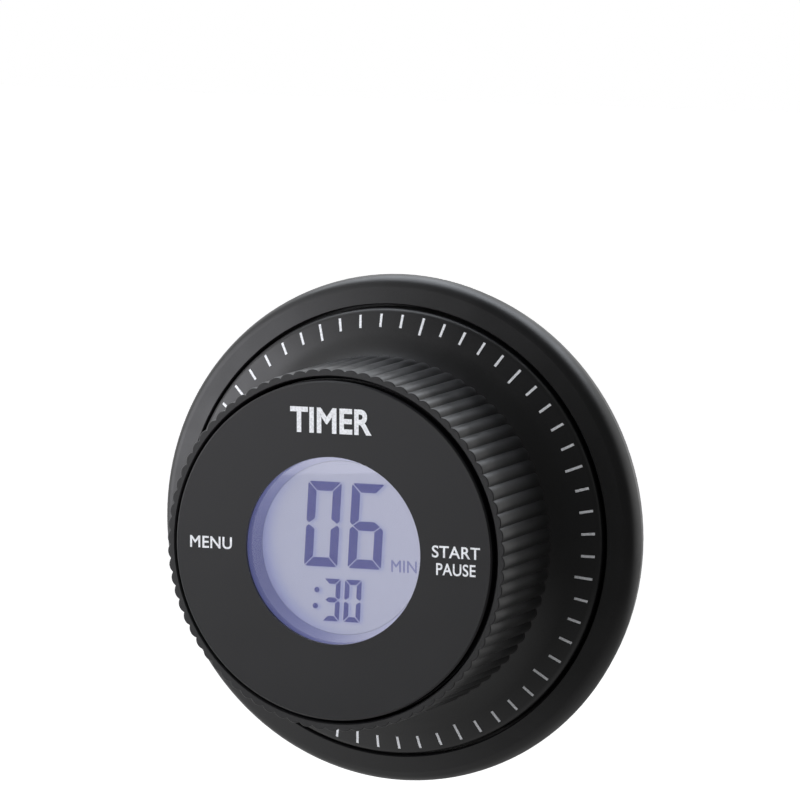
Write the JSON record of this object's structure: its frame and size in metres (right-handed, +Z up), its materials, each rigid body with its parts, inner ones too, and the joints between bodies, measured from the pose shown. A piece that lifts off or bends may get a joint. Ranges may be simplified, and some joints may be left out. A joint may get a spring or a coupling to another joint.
{
  "type": "kitchen timer",
  "caption": "Round magnetic digital kitchen timer: a fluted knob with a printed dial turns round a still, rocking face with a backlit display.",
  "frame": {"origin": "centre of the flat back, on the axis that the knob turns about", "axes": "+X right and +Z up as it hangs, front looks along -Y, +Y points out of the magnetic back"},
  "size_m": [0.085, 0.034, 0.085],
  "materials": {
    "case_abs": "injection-moulded black ABS, fine spark-eroded satin texture",
    "knob_abs": "injection-moulded black ABS, satin, soft-touch lacquered",
    "panel_abs": "injection-moulded charcoal ABS, smooth matte face",
    "hub_abs": "black ABS, plain moulded",
    "cover_abs": "black ABS, fine texture",
    "clear_pmma": "clear moulded PMMA, polished",
    "lcd_cell": "grey-violet backlit liquid crystal cell, satin front polariser",
    "frame_pc": "violet-tinted translucent polycarbonate, lit from behind",
    "guide_pmma": "printed PMMA light guide",
    "white_film": "white PET reflector film",
    "zebra_silicone": "striped conductive silicone",
    "fr4": "green solder mask on glass-epoxy laminate",
    "epoxy_black": "dispensed black epoxy",
    "chip_ceramic": "sintered ceramic chip parts",
    "chip_black": "thick-film chip resistors",
    "nickel_steel": "nickel-plated steel",
    "magnet_nickel": "nickel-plated neodymium",
    "zinc_steel": "black-zinc-plated steel screws",
    "brass_sheet": "rolled brass",
    "bronze_spring": "phosphor bronze spring sheet",
    "piezo_white": "silvered piezo ceramic",
    "acetal": "natural white acetal",
    "cell_jacket": "printed shrink sleeve over a steel can",
    "wire_pvc": "PVC-insulated hook-up wire",
    "ribbon_polyimide": "amber polyimide flex",
    "switch_nylon": "black glass-filled nylon",
    "led_white": "white LED package"
  },
  "bodies": {
    "base": {"base_case": "case_abs", "back_cover": "cover_abs", "cover_screws": "zinc_steel", "magnets": "magnet_nickel", "battery_cells": "cell_jacket", "contact_spring": "nickel_steel", "contact_plate": "nickel_steel", "contact_bridge": "nickel_steel", "battery_leads": "wire_pvc", "glide_ring": "acetal", "encoder_board": "fr4", "encoder_ribbon": "ribbon_polyimide", "hub_housing": "hub_abs", "hub_screws": "zinc_steel", "piezo_disc": "brass_sheet", "piezo_ceramic": "piezo_white", "buzzer_leads": "wire_pvc", "main_pcb": "fr4", "pcb_screws": "zinc_steel", "chip_blob": "epoxy_black", "quartz_crystal": "nickel_steel", "smd_capacitors": "chip_ceramic", "smd_resistors": "chip_black", "tact_switch_bodies": "switch_nylon", "tact_switch_plungers": "switch_nylon", "lcd_glass": "lcd_cell", "lcd_frame": "frame_pc", "reflector_film": "white_film", "light_guide": "guide_pmma", "backlight_leds": "led_white", "zebra_connectors": "zebra_silicone", "slide_switch_body": "switch_nylon", "switch_leads": "wire_pvc"},
    "knob": {"rotary_knob": "knob_abs", "encoder_wiper": "bronze_spring"},
    "face": {"face_panel": "panel_abs", "window_lens": "clear_pmma"},
    "door": {"battery_door": "cover_abs"},
    "slider": {"slide_switch_knob": "switch_nylon"}
  },
  "joints": [
    {"name": "knob_turn", "type": "hinge", "parent": "base", "child": "knob", "pos_m": [0, 0, 0], "axis": [0, -1, 0], "continuous": true},
    {"name": "panel_rock", "type": "hinge", "parent": "base", "child": "face", "pos_m": [0, -0.0296, 0], "axis": [0, 0, 1], "range_deg": [-1, 1], "stiffness_Nm_per_rad": 0.06},
    {"name": "battery_door_open", "type": "hinge", "parent": "base", "child": "door", "pos_m": [-0.0245, 0, 0], "axis": [0, 0, 1], "range_deg": [0, 60]},
    {"name": "sound_slide", "type": "slide", "parent": "base", "child": "slider", "axis": [1, 0, 0], "range_m": [-0.0015, 0.0015]}
  ]
}
